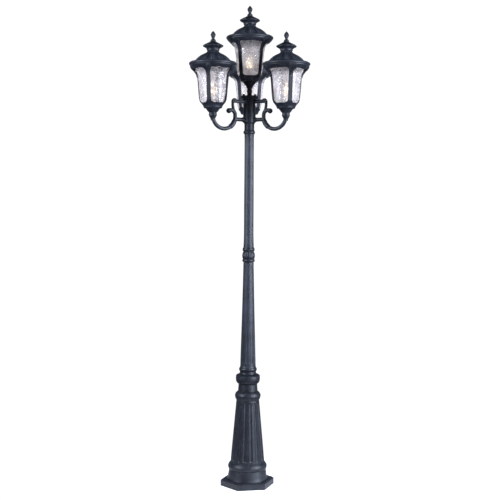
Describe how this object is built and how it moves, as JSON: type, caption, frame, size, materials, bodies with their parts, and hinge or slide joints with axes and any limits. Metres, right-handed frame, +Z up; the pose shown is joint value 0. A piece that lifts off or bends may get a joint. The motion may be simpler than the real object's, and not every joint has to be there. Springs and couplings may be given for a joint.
{
  "type": "four-light post light",
  "caption": "Outdoor post light with a hexagonal foot, a fluted post and a hub, carrying a raised round lantern with lower ones round it on scrolled arms.",
  "frame": {"origin": "on the post's axis, at the underside of the foot where the supply cable enters", "axes": "+Z up the post; two arms reach towards -Y, one to each side, and one towards +Y"},
  "size_m": [0.579, 0.5323, 2.3482],
  "materials": {
    "cast_aluminium": "cast aluminium, dark textured coating",
    "shaft_aluminium": "extruded aluminium, dark satin coating",
    "dark_screw": "blackened steel",
    "zinc_steel": "zinc plated steel",
    "brass_thread": "plain brass",
    "water_glass": "clear glass with a seeded, wavy surface",
    "bulb_glass": "clear blown glass",
    "lamp_holder": "matt moulding"
  },
  "bodies": {
    "post": {"base_foot": "cast_aluminium", "base_column": "cast_aluminium", "cup_collar": "cast_aluminium", "lower_shaft": "shaft_aluminium", "mid_collar": "cast_aluminium", "upper_shaft": "shaft_aluminium", "top_fitter": "cast_aluminium", "set_screws": "dark_screw", "hub_body": "cast_aluminium", "hub_nipple": "brass_thread", "hub_locknut": "zinc_steel", "hub_cap": "cast_aluminium", "hub_cap_nuts": "cast_aluminium", "centre_stem": "cast_aluminium", "left_arm": "cast_aluminium", "right_arm": "cast_aluminium", "rear_arm": "cast_aluminium", "arm_nuts": "zinc_steel", "wire_tubes": "brass_thread", "lantern_nuts": "zinc_steel", "glass_clips": "zinc_steel", "centre_cage": "cast_aluminium", "centre_glass": "water_glass", "centre_crossbar": "zinc_steel", "centre_socket": "lamp_holder", "left_cage": "cast_aluminium", "left_glass": "water_glass", "left_crossbar": "zinc_steel", "left_socket": "lamp_holder", "right_cage": "cast_aluminium", "right_glass": "water_glass", "right_crossbar": "zinc_steel", "right_socket": "lamp_holder", "rear_cage": "cast_aluminium", "rear_glass": "water_glass", "rear_crossbar": "zinc_steel", "rear_socket": "lamp_holder"},
    "centre_roof_body": {"centre_roof": "cast_aluminium", "centre_roof_cap": "cast_aluminium"},
    "centre_finial_body": {"centre_finial": "cast_aluminium"},
    "centre_lamp_body": {"centre_bulb_base": "brass_thread", "centre_bulb": "bulb_glass"},
    "left_roof_body": {"left_roof": "cast_aluminium", "left_roof_cap": "cast_aluminium"},
    "left_finial_body": {"left_finial": "cast_aluminium"},
    "left_lamp_body": {"left_bulb_base": "brass_thread", "left_bulb": "bulb_glass"},
    "right_roof_body": {"right_roof": "cast_aluminium", "right_roof_cap": "cast_aluminium"},
    "right_finial_body": {"right_finial": "cast_aluminium"},
    "right_lamp_body": {"right_bulb_base": "brass_thread", "right_bulb": "bulb_glass"},
    "rear_roof_body": {"rear_roof": "cast_aluminium", "rear_roof_cap": "cast_aluminium"},
    "rear_finial_body": {"rear_finial": "cast_aluminium"},
    "rear_lamp_body": {"rear_bulb_base": "brass_thread", "rear_bulb": "bulb_glass"}
  },
  "joints": [
    {"name": "centre_roof_lift", "type": "slide", "parent": "post", "child": "centre_roof_body", "axis": [0, 0, 1], "range_m": [0, 0.22]},
    {"name": "centre_finial_turn", "type": "hinge", "parent": "centre_roof_body", "child": "centre_finial_body", "pos_m": [0, 0, 2.325], "axis": [0, 0, 1], "continuous": true},
    {"name": "centre_bulb_turn", "type": "hinge", "parent": "post", "child": "centre_lamp_body", "pos_m": [0, 0, 2.03], "axis": [0, 0, 1], "continuous": true},
    {"name": "left_roof_lift", "type": "slide", "parent": "post", "child": "left_roof_body", "axis": [0, 0, 1], "range_m": [0, 0.08]},
    {"name": "left_finial_turn", "type": "hinge", "parent": "left_roof_body", "child": "left_finial_body", "pos_m": [-0.1745, -0.10075, 2.185], "axis": [0, 0, 1], "continuous": true},
    {"name": "left_bulb_turn", "type": "hinge", "parent": "post", "child": "left_lamp_body", "pos_m": [-0.1745, -0.10075, 1.89], "axis": [0, 0, 1], "continuous": true},
    {"name": "right_roof_lift", "type": "slide", "parent": "post", "child": "right_roof_body", "axis": [0, 0, 1], "range_m": [0, 0.08]},
    {"name": "right_finial_turn", "type": "hinge", "parent": "right_roof_body", "child": "right_finial_body", "pos_m": [0.1745, -0.10075, 2.185], "axis": [0, 0, 1], "continuous": true},
    {"name": "right_bulb_turn", "type": "hinge", "parent": "post", "child": "right_lamp_body", "pos_m": [0.1745, -0.10075, 1.89], "axis": [0, 0, 1], "continuous": true},
    {"name": "rear_roof_lift", "type": "slide", "parent": "post", "child": "rear_roof_body", "axis": [0, 0, 1], "range_m": [0, 0.08]},
    {"name": "rear_finial_turn", "type": "hinge", "parent": "rear_roof_body", "child": "rear_finial_body", "pos_m": [0, 0.2015, 2.185], "axis": [0, 0, 1], "continuous": true},
    {"name": "rear_bulb_turn", "type": "hinge", "parent": "post", "child": "rear_lamp_body", "pos_m": [0, 0.2015, 1.89], "axis": [0, 0, 1], "continuous": true}
  ]
}
